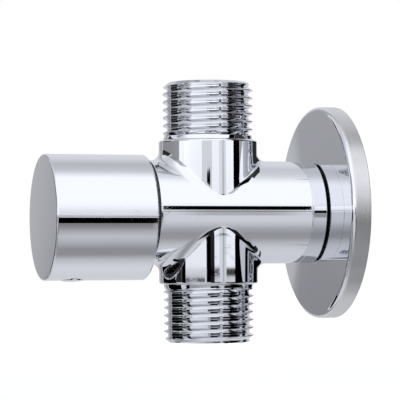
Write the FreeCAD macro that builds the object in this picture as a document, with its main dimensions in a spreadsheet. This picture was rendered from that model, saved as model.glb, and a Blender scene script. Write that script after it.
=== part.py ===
import FreeCAD, Part
import math
import operator
import os
import Sketcher

# Two-outlet shut-off valve for a wall: a tee-shaped tube with two G1/2 outlets, a quarter-turn
# ceramic headwork under a round knob, and a nipple that carries a sliding wall escutcheon.
# The origin is the middle of the escutcheon's back rim, which lies on the wall. +X points into
# the wall, +Z points up through the upper outlet, and the knob is at the -X end. Millimetres.

V = FreeCAD.Vector

SIZES = {
    # along the main axis, from the wall to the knob
    "escutcheon_height": 5.38,
    "escutcheon_gap": 0.42,
    "collar_width": 3.45,
    "outlet_distance": 21.48,
    "tube_stub": 15.15,
    "spigot_length": 4.4,
    "tail_beyond_wall": 5.5,
    # tube, necks and outlets
    "tube_diameter": 23.86,
    "spigot_diameter": 21.4,
    "crossing_fillet": 2.0,
    "shoulder_height": 16.5,
    "outlet_height": 30.0,
    "shoulder_round": 0.5,
    "thread_diameter": 20.955,
    "thread_chamfer": 1.0,
    "edge_break": 0.15,
    "outlet_bore": 13.0,
    "outlet_mouth_chamfer": 0.6,
    # bores of the body
    "headwork_thread": 16.66,
    "headwork_thread_end": 8.3,
    "chamber_diameter": 15.8,
    "seat_distance": 7.4,
    "seat_bore": 8.6,
    "seat_wall": 4.8,
    "headwork_ring": 1.6,
    "nipple_ring": 1.7,
    # inlet nipple, its ring and its strainer
    "nipple_thread": 16.66,
    "nipple_engagement": 8.2,
    "nipple_bore": 11.0,
    "nipple_hexagon": 12.0,
    "nipple_hexagon_depth": 8.0,
    "grip_groove_width": 2.0,
    "grip_groove_depth": 1.38,
    "grip_land_width": 1.25,
    "thread_relief_width": 1.2,
    "thread_relief_depth": 1.28,
    "strainer_wall": 0.4,
    "strainer_depth": 9.0,
    "strainer_rim_width": 1.0,
    # wall escutcheon
    "escutcheon_diameter": 49.6,
    "escutcheon_wall": 1.0,
    "escutcheon_slope": 0.85,
    "escutcheon_round": 1.1,
    "escutcheon_play": 0.57,
    "escutcheon_lip": 2.6,
    # knob and its fastening
    "knob_gap": 0.6,
    "knob_diameter": 28.7,
    "knob_length": 23.4,
    "knob_wall": 1.4,
    "knob_face": 2.0,
    "knob_bevel": 0.4,
    "knob_droop": 1.2,
    "hub_diameter": 17.0,
    "hub_clearance": 2.4,
    "rib_thickness": 1.6,
    "rib_length": 12.0,
    "screw_distance": 6.5,
    "screw_diameter": 5.0,
    "screw_hexagon": 2.5,
    "screw_hexagon_depth": 2.6,
    "screw_length": 5.6,
    "screw_boss_diameter": 8.6,
    "cap_diameter": 6.2,
    "cap_proud": 0.3,
    "cap_depth": 2.6,
    # headwork
    "flange_hexagon": 17.0,
    "flange_thickness": 3.2,
    "nose_diameter": 14.2,
    "disc_room": 12.6,
    "washer_thickness": 0.8,
    "spindle_diameter": 9.2,
    "spindle_end_diameter": 8.0,
    "spindle_flat_height": 3.2,
    "spindle_collar": 2.2,
    "stop_depth": 1.1,
    "stop_rib_angle": 40.0,
    "stop_play_angle": 2.0,
    "turn_angle": 90.0,
    "tongue_length": 7.0,
    "tongue_width": 4.6,
    "tongue_grip": 0.8,
    "ring_groove_width": 1.9,
    "ring_groove_depth": 1.4,
    "ring_groove_spacing": 3.4,
    "first_groove": 2.0,
    "clip_thickness": 0.8,
    "clip_width": 1.9,
    "clip_opening_angle": 50.0,
    "window_width": 7.0,
    "disc_thickness": 3.2,
    "disc_opening_angle": 68.0,
    "disc_opening_inner": 1.3,
    "disc_opening_outer": 4.5,
    "disc_lug_width": 3.0,
    "seal_thickness": 2.2,
    "backing_ring_width": 0.9,
    "backing_ring_thickness": 1.4,
    # clearances
    "fit_gap": 0.03,
    "running_gap": 0.05,
    "end_gap": 0.3,
    "bore_end_gap": 0.6,
}


def join(symbol, work, left, right):
    """One size made from two, as a formula on the sheet and as its value."""
    left, right = as_size(left), as_size(right)
    return Size(f"({left.formula} {symbol} {right.formula})", work(left.value, right.value))


class Size:
    """A length or an angle that carries its formula on the sheet and its present value."""

    def __init__(self, formula, value):
        self.formula = formula
        self.value = value

    def __add__(self, other):
        return join("+", operator.add, self, other)

    def __radd__(self, other):
        return join("+", operator.add, other, self)

    def __sub__(self, other):
        return join("-", operator.sub, self, other)

    def __rsub__(self, other):
        return join("-", operator.sub, other, self)

    def __mul__(self, other):
        return join("*", operator.mul, self, other)

    def __rmul__(self, other):
        return join("*", operator.mul, other, self)

    def __truediv__(self, other):
        return join("/", operator.truediv, self, other)

    def __neg__(self):
        return join("-", operator.sub, 0, self)


def as_size(thing):
    if isinstance(thing, Size):
        return thing
    return Size(repr(float(thing)), float(thing))


def lesser(one, other):
    return Size(f"min({one.formula}; {other.formula})", min(one.value, other.value))


doc = FreeCAD.newDocument("shut_off_valve")
sheet = doc.addObject("Spreadsheet::Sheet", "Sizes")
for row, (alias, number) in enumerate(SIZES.items(), start=1):
    sheet.set(f"A{row}", alias)
    sheet.set(f"B{row}", str(number))
    sheet.setAlias(f"B{row}", alias)
doc.recompute()


def S(alias):
    return Size(f"Sizes.{alias}", SIZES[alias])


PARTS = []


def keep(obj, label):
    """Name a finished sub-part; the label is also the name of its file."""
    obj.Label = label
    PARTS.append(obj)
    return obj


def bind(obj, prop, size):
    obj.setExpression(prop, as_size(size).formula)


# Sketches and features of a body


def new_body(name):
    return doc.addObject("PartDesign::Body", name)


def origin_plane(body, role):
    return next(f for f in body.Origin.OriginFeatures if f.Role == role)


def new_sketch(body, name, role, shift=(0, 0, 0), tilt=0.0):
    """An empty sketch on one of the body's own planes, shifted and tilted in that plane's frame.

    XZ_Plane has the main axis as its horizontal axis and the upward direction as its vertical one.
    """
    sketch = body.newObject("Sketcher::SketchObject", name)
    sketch.AttachmentSupport = [(origin_plane(body, role), "")]
    sketch.MapMode = "FlatFace"
    base = V(*[as_size(s).value for s in shift])
    sketch.AttachmentOffset = FreeCAD.Placement(base, FreeCAD.Rotation(V(1, 0, 0), tilt))
    for letter, size in zip("xyz", shift):
        if isinstance(size, Size):
            bind(sketch, f"AttachmentOffset.Base.{letter}", size)
    return sketch


def constraint(*values):
    return Sketcher.Constraint(*values)


def place_point(sketch, line, across, up):
    """Hold the first point of a line by its two distances from the sketch's origin."""
    for kind, axis, size in (("DistanceX", -2, as_size(across)), ("DistanceY", -1, as_size(up))):
        if size.value == 0:
            sketch.addConstraint(constraint("PointOnObject", line, 1, axis))
            continue
        index = sketch.addConstraint(constraint(kind, -1, 1, line, 1, size.value))
        sketch.setExpression(f"Constraints[{index}]", size.formula)


def draw_outline(sketch, points):
    """A closed outline of straight lines through the given points."""
    spots = [V(as_size(a).value, as_size(b).value, 0) for a, b in points]
    first = sketch.GeometryCount
    count = len(spots)
    for i in range(count):
        sketch.addGeometry(Part.LineSegment(spots[i], spots[(i + 1) % count]), False)
    for i in range(count):
        after = first + (i + 1) % count
        sketch.addConstraint(constraint("Coincident", first + i, 2, after, 1))
    for i, (across, up) in enumerate(points):
        place_point(sketch, first + i, across, up)
    return sketch


def draw_circle(sketch, across, radius):
    """A circle whose middle lies on the sketch's horizontal axis."""
    across, radius = as_size(across), as_size(radius)
    ring = sketch.addGeometry(Part.Circle(V(across.value, 0, 0), V(0, 0, 1), radius.value), False)
    sketch.addConstraint(constraint("PointOnObject", ring, 3, -1))
    if across.value == 0:
        sketch.addConstraint(constraint("PointOnObject", ring, 3, -2))
    else:
        index = sketch.addConstraint(
            constraint("DistanceX", -1, 1, ring, 3, across.value)
        )
        sketch.setExpression(f"Constraints[{index}]", across.formula)
    index = sketch.addConstraint(constraint("Radius", ring, radius.value))
    sketch.setExpression(f"Constraints[{index}]", radius.formula)
    return sketch


def turn(body, name, points, role="XZ_Plane", shift=(0, 0, 0), tilt=0.0, axis="H_Axis",
         angle=360, cut=False):
    """Turn an outline about an axis of its sketch, to add to the body or to cut from it."""
    sketch = draw_outline(new_sketch(body, name + "_profile", role, shift, tilt), points)
    kind = "PartDesign::Groove" if cut else "PartDesign::Revolution"
    feature = body.newObject(kind, name)
    feature.Profile = sketch
    feature.ReferenceAxis = (sketch, [axis])
    if isinstance(angle, Size):
        feature.Angle = angle.value
        feature.Midplane = True
        bind(feature, "Angle", angle)
    else:
        feature.Angle = angle
    return feature


def extrude(body, name, sketch, length=None, cut=False, reverse=False, both=False):
    """Pad or pocket a sketch; with no length it runs through everything."""
    feature = body.newObject("PartDesign::Pocket" if cut else "PartDesign::Pad", name)
    feature.Profile = sketch
    feature.Midplane = both
    feature.Reversed = reverse
    if length is None:
        feature.Type = "ThroughAll"
    else:
        feature.Length = as_size(length).value
        bind(feature, "Length", length)
    return feature


def must_change(body, smaller):
    """Recompute and make sure that the newest feature took away or added material."""
    doc.recompute()
    volumes = [f.Shape.Volume for f in body.Group if f.isDerivedFrom("PartDesign::Feature")]
    if len(volumes) > 1 and (volumes[-1] < volumes[-2]) != smaller:
        raise RuntimeError(f"{body.Name}: the last feature did not change the solid as meant")


def edge_names(shape, wanted):
    return [f"Edge{i}" for i, edge in enumerate(shape.Edges, start=1) if wanted(edge)]


def spots_on(edge, count=7):
    first, last = edge.ParameterRange
    return [edge.valueAt(first + (last - first) * k / (count - 1)) for k in range(count)]


def round_edges(body, name, names, radius):
    feature = body.newObject("PartDesign::Fillet", name)
    feature.Base = (body.Tip if body.Tip is not feature else feature.BaseFeature, names)
    feature.Radius = as_size(radius).value
    bind(feature, "Radius", radius)
    doc.recompute()
    return feature


def hexagon(across_flats):
    """Corner points of a hexagon with two flats facing up and down."""
    half, corner = across_flats / 2, across_flats / math.sqrt(3)
    return [
        (corner, 0),
        (corner / 2, half),
        (-corner / 2, half),
        (-corner, 0),
        (-corner / 2, -half),
        (corner / 2, -half),
    ]


def rectangle(left, right, low, high):
    return [(left, low), (right, low), (right, high), (left, high)]


# Primitives along the main axis


def lay_along(obj, start, lift=0, roll=0.0):
    """Lay a primitive's own axis along +X, from the given start; roll turns it about that axis."""
    along = FreeCAD.Rotation(V(1, 0, 0), roll) * FreeCAD.Rotation(V(1, 1, 1), 120)
    start, lift = as_size(start), as_size(lift)
    obj.Placement = FreeCAD.Placement(V(start.value, 0, lift.value), along)
    bind(obj, "Placement.Base.x", start)
    bind(obj, "Placement.Base.z", lift)
    return obj


def drum(name, radius, start, length, angle=None, roll=0.0):
    obj = doc.addObject("Part::Cylinder", name)
    bind(obj, "Radius", radius)
    bind(obj, "Height", length)
    if angle is not None:
        bind(obj, "Angle", angle)
    return lay_along(obj, start, roll=roll)


def block(name, start, length, width, low, height):
    """A box along the main axis, centred in width, from a low level up."""
    obj = doc.addObject("Part::Box", name)
    bind(obj, "Length", length)
    bind(obj, "Width", width)
    bind(obj, "Height", height)
    bind(obj, "Placement.Base.x", start)
    bind(obj, "Placement.Base.y", -as_size(width) / 2)
    bind(obj, "Placement.Base.z", low)
    return obj


def without(name, base, tools):
    obj = doc.addObject("Part::Cut", name)
    obj.Base = base
    obj.Tool = together(name + "_tools", tools) if len(tools) > 1 else tools[0]
    return obj


def together(name, pieces):
    obj = doc.addObject("Part::MultiFuse", name)
    obj.Shapes = pieces
    return obj


def washer(label, inner, outer, start, length):
    ring = without(
        label + "_ring",
        drum(label + "_outside", outer, start, length),
        [drum(label + "_hole", inner, start, length)],
    )
    return keep(ring, label)


def o_ring(label, inner, outer, middle):
    """A ring of round section between two radii, about the main axis."""
    obj = doc.addObject("Part::Torus", label + "_ring")
    bind(obj, "Radius1", (inner + outer) / 2)
    bind(obj, "Radius2", (outer - inner) / 2)
    lay_along(obj, middle)
    return keep(obj, label)


# Places along the main axis

gap = S("fit_gap")
disc_x = -S("escutcheon_height")
collar_x = disc_x - S("escutcheon_gap")
seam_x = collar_x - S("collar_width")
outlet_x = seam_x - S("outlet_distance")
step_x = outlet_x - S("tube_stub")
mouth_x = step_x - S("spigot_length")
flange_x = mouth_x - S("flange_thickness")
knob_rear_x = step_x - S("knob_gap")
knob_front_x = knob_rear_x - S("knob_length")
screw_x = knob_front_x + S("screw_distance")
seat_x = outlet_x + S("seat_distance")
inlet_floor_x = seat_x + S("seat_wall")
seal_x = seat_x - S("seal_thickness") - gap
fixed_disc_x = seal_x - S("disc_thickness") - gap
turning_disc_x = fixed_disc_x - S("disc_thickness") - gap
head_x = turning_disc_x - gap
collar_right_x = head_x - S("tongue_length")
collar_left_x = collar_right_x - S("spindle_collar")
washer_x = collar_left_x - S("washer_thickness") - gap
room_x = washer_x - gap

# Radii that more than one piece uses

tube_r = S("tube_diameter") / 2
thread_r = S("thread_diameter") / 2
neck_share = 0.75
neck_r = thread_r + (tube_r - thread_r) * neck_share
spigot_r = S("spigot_diameter") / 2
chamber_r = S("chamber_diameter") / 2
nose_r = S("nose_diameter") / 2
headwork_recess = S("headwork_ring") + gap * 2
nipple_recess = S("nipple_ring") + gap * 2
headwork_thread_r = S("headwork_thread") / 2
nipple_thread_r = S("nipple_thread") / 2
room_r = S("disc_room") / 2
spindle_r = S("spindle_diameter") / 2
spindle_end_r = S("spindle_end_diameter") / 2
bearing_r = spindle_r + S("running_gap")
groove_r = spindle_r - S("ring_groove_depth")
disc_r = room_r - S("running_gap")
seat_bore_r = S("seat_bore") / 2
screw_r = S("screw_diameter") / 2
cap_r = S("cap_diameter") / 2


def valve_body():
    """Cast and machined tee: a tube, two necks that cross it, and the bores inside."""
    body = new_body("valve_body_solid")
    edge = S("edge_break")
    turn(body, "tube", [
        (mouth_x, 0),
        (mouth_x, spigot_r - edge),
        (mouth_x + edge, spigot_r),
        (step_x, spigot_r),
        (step_x, tube_r - edge),
        (step_x + edge, tube_r),
        (seam_x - edge, tube_r),
        (seam_x, tube_r - edge),
        (seam_x, 0),
    ])
    top, shoulder, bevel = S("outlet_height"), S("shoulder_height"), S("thread_chamfer")
    turn(body, "outlets", [
        (0, -top),
        (thread_r - bevel, -top),
        (thread_r, bevel - top),
        (thread_r, -shoulder),
        (neck_r, -shoulder),
        (neck_r, shoulder),
        (thread_r, shoulder),
        (thread_r, top - bevel),
        (thread_r - bevel, top),
        (0, top),
    ], shift=(outlet_x, 0, 0), axis="V_Axis")
    doc.recompute()

    def on_crossing(edge_of_solid):
        return all(
            abs(math.hypot(p.y, p.z) - tube_r.value) < 1e-3
            and abs(math.hypot(p.x - outlet_x.value, p.y) - neck_r.value) < 1e-3
            for p in spots_on(edge_of_solid)
        )

    def on_shoulder(edge_of_solid):
        return all(
            abs(abs(p.z) - shoulder.value) < 1e-3
            and abs(math.hypot(p.x - outlet_x.value, p.y) - neck_r.value) < 1e-3
            for p in spots_on(edge_of_solid)
        )

    names = edge_names(body.Tip.Shape, on_crossing)
    round_edges(body, "crossing", names, S("crossing_fillet"))
    names = edge_names(body.Tip.Shape, on_shoulder)
    step_share = 0.4
    round_edges(body, "shoulders", names,
                lesser(S("shoulder_round"), (neck_r - thread_r) * step_share))
    ring_r = nose_r + headwork_recess
    nipple_ring_r = nipple_thread_r + nipple_recess
    thread_end_x = mouth_x + S("headwork_thread_end")
    turn(body, "main_bores", [
        (mouth_x, 0),
        (mouth_x, ring_r),
        (mouth_x + headwork_recess, ring_r),
        (mouth_x + headwork_recess, headwork_thread_r + gap),
        (thread_end_x, headwork_thread_r + gap),
        (thread_end_x, chamber_r),
        (seat_x, chamber_r),
        (seat_x, seat_bore_r),
        (inlet_floor_x, seat_bore_r),
        (inlet_floor_x, nipple_thread_r + gap),
        (seam_x - nipple_recess, nipple_thread_r + gap),
        (seam_x - nipple_recess, nipple_ring_r),
        (seam_x, nipple_ring_r),
        (seam_x, 0),
    ], cut=True)
    must_change(body, smaller=True)
    way = S("outlet_bore") / 2
    lead = S("outlet_mouth_chamfer")
    turn(body, "outlet_bores", [
        (0, -top),
        (way + lead, -top),
        (way, lead - top),
        (way, top - lead),
        (way + lead, top),
        (0, top),
    ], shift=(outlet_x, 0, 0), axis="V_Axis", cut=True)
    must_change(body, smaller=True)
    return keep(body, "valve_body")


def inlet_nipple():
    """Turned nipple: front thread, round collar, ring groove, and a G1/2 tail for the wall."""
    body = new_body("inlet_nipple_solid")
    edge, bevel, tail_x = S("edge_break"), S("thread_chamfer"), S("tail_beyond_wall")
    front_x = seam_x - S("nipple_engagement")
    groove_end_x = collar_x + S("grip_groove_width")
    grip_r = thread_r - S("grip_groove_depth")
    relief_x = groove_end_x + S("grip_land_width")
    relief_end_x = relief_x + S("thread_relief_width")
    relief_r = thread_r - S("thread_relief_depth")
    collar_r = tube_r
    turn(body, "outside", [
        (front_x, 0),
        (front_x, nipple_thread_r - edge),
        (front_x + edge, nipple_thread_r),
        (seam_x, nipple_thread_r),
        (seam_x, collar_r - edge),
        (seam_x + edge, collar_r),
        (collar_x - edge, collar_r),
        (collar_x, collar_r - edge),
        (collar_x, grip_r),
        (groove_end_x, grip_r),
        (groove_end_x, thread_r),
        (relief_x, thread_r),
        (relief_x, relief_r),
        (relief_end_x, relief_r),
        (relief_end_x, thread_r),
        (tail_x - bevel, thread_r),
        (tail_x, thread_r - bevel),
        (tail_x, 0),
    ])
    extrude(
        body, "waterway",
        draw_circle(new_sketch(body, "waterway_outline", "YZ_Plane"), 0, S("nipple_bore") / 2),
        cut=True, both=True,
    )
    must_change(body, smaller=True)
    socket = new_sketch(body, "hexagon_outline", "YZ_Plane", (0, 0, tail_x))
    draw_outline(socket, hexagon(S("nipple_hexagon")))
    extrude(body, "hexagon_socket", socket, S("nipple_hexagon_depth"), cut=True)
    must_change(body, smaller=True)
    return keep(body, "inlet_nipple")


def inlet_strainer():
    """Thin metal thimble; its rim rests on the floor of the nipple's hexagon socket."""
    body = new_body("inlet_strainer_solid")
    floor_x = S("tail_beyond_wall") - S("nipple_hexagon_depth")
    wall = S("strainer_wall")
    outer = S("nipple_bore") / 2 - gap * 4
    rim_r = S("nipple_hexagon") / 2 - gap
    end_x = floor_x - S("strainer_depth")
    turn(body, "thimble", [
        (end_x, 0),
        (end_x, outer),
        (floor_x + gap, outer),
        (floor_x + gap, rim_r),
        (floor_x + gap + S("strainer_rim_width"), rim_r),
        (floor_x + gap + S("strainer_rim_width"), outer - wall),
        (end_x + wall, outer - wall),
        (end_x + wall, 0),
    ])
    return keep(body, "inlet_strainer")


def escutcheon():
    """Drawn cup: a slightly coned face, a rolled rim to the wall, and a lip round the hole."""
    body = new_body("escutcheon_solid")
    outer, hole = S("escutcheon_diameter") / 2, thread_r + S("escutcheon_play")
    wall, lip_x = S("escutcheon_wall"), disc_x + S("escutcheon_lip")
    rim_x = disc_x + S("escutcheon_slope")
    turn(body, "cup", [
        (disc_x, hole),
        (rim_x, outer),
        (0, outer),
        (0, outer - wall),
        (rim_x + wall, outer - wall),
        (disc_x + wall, hole + wall),
        (lip_x, hole + wall),
        (lip_x, hole),
    ])
    doc.recompute()

    def on_ring(x, radius):
        def test(edge):
            return all(
                abs(p.x - x.value) < 1e-3 and abs(math.hypot(p.y, p.z) - radius.value) < 1e-3
                for p in spots_on(edge)
            )
        return test

    rim = edge_names(body.Tip.Shape, on_ring(rim_x, outer))
    round_edges(body, "rim_round", rim, S("escutcheon_round"))
    return keep(body, "escutcheon")


def knob():
    """Die-cast cup with a hub, four ribs and a boss for the grub screw, hung a little low."""
    body = new_body("knob_solid")
    low = (0, -S("knob_droop"), 0)
    outer, bevel, edge = S("knob_diameter") / 2, S("knob_bevel"), S("edge_break")
    inner = outer - S("knob_wall")
    face_x = knob_front_x + S("knob_face")
    hub_r, hub_x = S("hub_diameter") / 2, flange_x - S("hub_clearance")
    turn(body, "shell", [
        (knob_front_x, 0),
        (knob_front_x, outer - bevel),
        (knob_front_x + bevel, outer),
        (knob_rear_x - edge, outer),
        (knob_rear_x, outer - edge),
        (knob_rear_x, inner),
        (face_x, inner),
        (face_x, hub_r),
        (hub_x, hub_r),
        (hub_x, 0),
    ], shift=low)
    rib = new_sketch(body, "rib_outline", "YZ_Plane", (0, -S("knob_droop"), face_x - edge))
    half = S("rib_thickness") / 2
    draw_outline(rib, rectangle(-half, half, hub_r - edge, inner + edge))
    rib_pad = extrude(body, "rib", rib, S("rib_length"))
    ribs = body.newObject("PartDesign::PolarPattern", "ribs")
    ribs.Originals = [rib_pad]
    ribs.Axis = (rib, ["N_Axis"])
    ribs.Angle = 360
    ribs.Occurrences = 4
    body.Tip = ribs
    must_change(body, smaller=False)
    boss = new_sketch(body, "boss_outline", "XY_Plane", (0, 0, -S("knob_droop")))
    draw_circle(boss, screw_x, S("screw_boss_diameter") / 2)
    extrude(body, "screw_boss", boss, inner + edge, reverse=True)
    must_change(body, smaller=False)
    bore_r = knob_bore_r
    turn(body, "spindle_bore", [
        (face_x, 0),
        (face_x, bore_r),
        (hub_x, bore_r),
        (hub_x, 0),
    ], shift=low, cut=True)
    must_change(body, smaller=True)
    tapped = new_sketch(body, "tapped_hole_outline", "XY_Plane", (0, 0, -S("knob_droop")))
    draw_circle(tapped, screw_x, screw_r + gap)
    extrude(body, "tapped_hole", tapped, outer + bevel, cut=True)
    must_change(body, smaller=True)
    floor = new_sketch(body, "cap_seat_outline", "XY_Plane", (0, 0, cap_floor_z))
    draw_circle(floor, screw_x, cap_r + gap)
    extrude(body, "cap_seat", floor, S("knob_diameter"), cut=True)
    must_change(body, smaller=True)
    return keep(body, "knob")


knob_bottom_z = -S("knob_diameter") / 2 - S("knob_droop")
cap_floor_z = knob_bottom_z + S("cap_depth")
knob_bore_r = spindle_end_r + S("knob_droop") + gap
screw_tip_z = -S("spindle_flat_height") - gap


def knob_grub_screw():
    """Hexagon-socket grub screw that stands under the spindle's flat and lifts against it."""
    body = new_body("knob_grub_screw_solid")
    foot = screw_tip_z - S("screw_length")
    edge = screw_r / 4
    turn(body, "shank", [
        (0, foot),
        (screw_r - edge, foot),
        (screw_r, foot + edge),
        (screw_r, screw_tip_z - edge),
        (screw_r - edge, screw_tip_z),
        (0, screw_tip_z),
    ], shift=(screw_x, 0, 0), axis="V_Axis")
    socket = new_sketch(body, "socket_outline", "XY_Plane", (screw_x, 0, foot))
    draw_outline(socket, hexagon(S("screw_hexagon")))
    extrude(body, "socket", socket, S("screw_hexagon_depth"), cut=True, reverse=True)
    must_change(body, smaller=True)
    return keep(body, "knob_grub_screw")


def knob_screw_cap():
    """Small round plug that closes the screw's hole and stands a little proud of the knob."""
    body = new_body("knob_screw_cap_solid")
    foot = knob_bottom_z - S("cap_proud")
    edge = S("edge_break")
    turn(body, "plug", [
        (0, foot),
        (cap_r - edge, foot),
        (cap_r, foot + edge),
        (cap_r, cap_floor_z - gap),
        (0, cap_floor_z - gap),
    ], shift=(screw_x, 0, 0), axis="V_Axis")
    return keep(body, "knob_screw_cap")


def headwork_housing():
    """Turned cartridge housing: hexagon flange, thread, thin nose with windows and a stop rib."""
    body = new_body("headwork_housing_solid")
    end_x = seat_x - S("end_gap")
    ring_x = mouth_x + headwork_recess
    thread_end_x = mouth_x + S("headwork_thread_end") - S("end_gap")
    turn(body, "outside", [
        (flange_x, 0),
        (flange_x, nose_r),
        (ring_x, nose_r),
        (ring_x, headwork_thread_r),
        (thread_end_x, headwork_thread_r),
        (thread_end_x, nose_r),
        (end_x, nose_r),
        (end_x, 0),
    ])
    flange = new_sketch(body, "flange_outline", "YZ_Plane", (0, 0, flange_x))
    draw_outline(flange, hexagon(S("flange_hexagon")))
    extrude(body, "flange", flange, S("flange_thickness") - gap)
    must_change(body, smaller=False)
    turn(body, "bearing_and_room", [
        (flange_x, 0),
        (flange_x, bearing_r),
        (room_x, bearing_r),
        (room_x, room_r),
        (end_x, room_r),
        (end_x, 0),
    ], cut=True)
    must_change(body, smaller=True)
    windows = new_sketch(body, "window_outline", "XY_Plane")
    half = S("window_width") / 2
    draw_outline(windows, rectangle(collar_right_x, head_x, -half, half))
    extrude(body, "windows", windows, cut=True, both=True)
    must_change(body, smaller=True)
    lugs = new_sketch(body, "lug_slot_outline", "XZ_Plane")
    half = S("disc_lug_width") / 2 + gap
    draw_outline(lugs, rectangle(fixed_disc_x - gap, end_x, -half, half))
    extrude(body, "lug_slots", lugs, cut=True, both=True)
    must_change(body, smaller=True)
    turn(body, "stop_rib", [
        (collar_left_x, room_r - S("stop_depth") + gap),
        (collar_right_x, room_r - S("stop_depth") + gap),
        (collar_right_x, (room_r + nose_r) / 2),
        (collar_left_x, (room_r + nose_r) / 2),
    ], angle=S("stop_rib_angle"))
    must_change(body, smaller=False)
    return keep(body, "headwork_housing")


def spindle():
    """Turned spindle: flatted knob end, two ring grooves, collar with a stop recess, tongue."""
    body = new_body("spindle_solid")
    end_x = knob_front_x + S("knob_face") + S("bore_end_gap")
    clip_right_x = flange_x - gap
    clip_left_x = clip_right_x - S("clip_thickness") - gap * 2
    clip_r = spindle_end_r - S("clip_width") / 4
    edge = S("edge_break")
    profile = [
        (end_x, 0),
        (end_x, spindle_end_r - edge),
        (end_x + edge, spindle_end_r),
        (clip_left_x, spindle_end_r),
        (clip_left_x, clip_r),
        (clip_right_x, clip_r),
        (clip_right_x, spindle_end_r),
        (flange_x + edge, spindle_end_r),
        (flange_x + edge, spindle_r),
    ]
    for start in groove_starts:
        profile += [
            (start, spindle_r),
            (start, groove_r),
            (start + S("ring_groove_width"), groove_r),
            (start + S("ring_groove_width"), spindle_r),
        ]
    profile += [
        (collar_left_x, spindle_r),
        (collar_left_x, disc_r),
        (collar_right_x, disc_r),
        (collar_right_x, 0),
    ]
    turn(body, "shaft", profile)
    tongue = new_sketch(body, "tongue_outline", "YZ_Plane", (0, 0, collar_right_x - edge))
    half, reach = S("tongue_width") / 2, tongue_reach
    draw_outline(tongue, rectangle(-reach, reach, -half, half))
    extrude(body, "tongue", tongue, S("tongue_length") + S("tongue_grip") + edge)
    must_change(body, smaller=False)
    flat = new_sketch(body, "flat_outline", "XZ_Plane")
    flat_z = -S("spindle_flat_height")
    draw_outline(flat, rectangle(end_x, clip_left_x - edge, flat_z - spindle_end_r, flat_z))
    extrude(body, "flat", flat, cut=True, both=True)
    must_change(body, smaller=True)
    swing = S("turn_angle") + S("stop_rib_angle") + S("stop_play_angle") * 2
    turn(body, "stop_recess", [
        (collar_left_x, room_r - S("stop_depth") - gap),
        (collar_right_x, room_r - S("stop_depth") - gap),
        (collar_right_x, room_r + gap),
        (collar_left_x, room_r + gap),
    ], tilt=SIZES["turn_angle"] / 2, angle=swing, cut=True)
    must_change(body, smaller=True)
    return keep(body, "spindle")


groove_starts = [
    flange_x + S("first_groove"),
    flange_x + S("first_groove") + S("ring_groove_spacing"),
]
tongue_reach = disc_r - S("stop_depth")


def spindle_seals():
    """Two round rings in the spindle's grooves and the spring clip that holds the spindle in."""
    for label, start in zip(("spindle_o_ring_outer", "spindle_o_ring_inner"), groove_starts):
        middle = start + S("ring_groove_width") / 2
        o_ring(label, groove_r + gap, bearing_r - gap, middle)
    clip_x = flange_x - gap * 2 - S("clip_thickness")
    opening = S("clip_opening_angle")
    clip_r = spindle_end_r - S("clip_width") / 4 + gap
    ring = without(
        "spindle_circlip_ring",
        drum("clip_outside", clip_r + S("clip_width"), clip_x, S("clip_thickness"),
             360 - opening, roll=90 + opening.value / 2),
        [drum("clip_hole", clip_r, clip_x, S("clip_thickness"))],
    )
    keep(ring, "spindle_circlip")
    washer("slip_washer", bearing_r, room_r - gap, washer_x, S("washer_thickness"))


def openings(name, start, middle_angle):
    """Two opposite sector-shaped windows through a ceramic disc, as cutting solids."""
    angle = S("disc_opening_angle")
    web = drum(name + "_web", S("disc_opening_inner"), start, S("disc_thickness"))
    sectors = [
        drum(f"{name}_sector_{side}", S("disc_opening_outer"), start, S("disc_thickness"),
             angle, roll=middle_angle + side - angle.value / 2)
        for side in (0, 180)
    ]
    return without(name, together(name + "_sectors", sectors), [web])


def ceramic_discs():
    """Lapped pair: the fixed disc is keyed by two lugs, the turning one by the tongue's slot."""
    thickness = S("disc_thickness")
    lug_reach = nose_r - gap
    lugs = block("disc_lugs", fixed_disc_x, thickness, lug_reach * 2,
                 -S("disc_lug_width") / 2, S("disc_lug_width"))
    plate = together("fixed_disc_plate", [drum("fixed_disc_round", disc_r, fixed_disc_x, thickness), lugs])
    fixed = without("fixed_disc_cut", plate, [openings("fixed_disc_openings", fixed_disc_x, 0)])
    keep(fixed, "fixed_disc")
    slot_depth = S("tongue_grip") + gap * 2
    slot = block("drive_slot", turning_disc_x, slot_depth, tongue_reach * 2 + gap * 4,
                 -S("tongue_width") / 2 - gap, S("tongue_width") + gap * 2)
    turning = without(
        "turning_disc_cut",
        drum("turning_disc_round", disc_r, turning_disc_x, thickness),
        [openings("turning_disc_openings", turning_disc_x, 90), slot],
    )
    keep(turning, "turning_disc")


def body_seals():
    """Rings between the body and what is screwed into it, and under the escutcheon."""
    ring_r, thickness = seat_bore_r + S("backing_ring_width"), S("seal_thickness")
    ring_thickness = S("backing_ring_thickness")
    seal = without("seat_seal_cut", drum("seat_seal_outside", disc_r, seat_x - thickness, thickness), [
        drum("seat_seal_hole", seat_bore_r, seat_x - thickness, thickness),
        drum("seat_seal_recess", ring_r + gap, seat_x - ring_thickness - gap, ring_thickness + gap),
    ])
    keep(seal, "seat_seal")
    washer("seal_backing_ring", seat_bore_r, ring_r, seat_x - ring_thickness, ring_thickness)
    o_ring("headwork_o_ring", nose_r + gap, nose_r + gap + S("headwork_ring"),
           mouth_x + headwork_recess / 2)
    o_ring("nipple_o_ring", nipple_thread_r + gap, nipple_thread_r + gap + S("nipple_ring"),
           seam_x - nipple_recess / 2)
    o_ring("escutcheon_o_ring", thread_r - S("grip_groove_depth") + gap,
           thread_r + S("escutcheon_play") - S("running_gap"),
           collar_x + S("grip_groove_width") / 2)


valve_body()
inlet_nipple()
inlet_strainer()
escutcheon()
knob()
knob_grub_screw()
knob_screw_cap()
headwork_housing()
spindle()
spindle_seals()
ceramic_discs()
body_seals()
doc.recompute()

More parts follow.
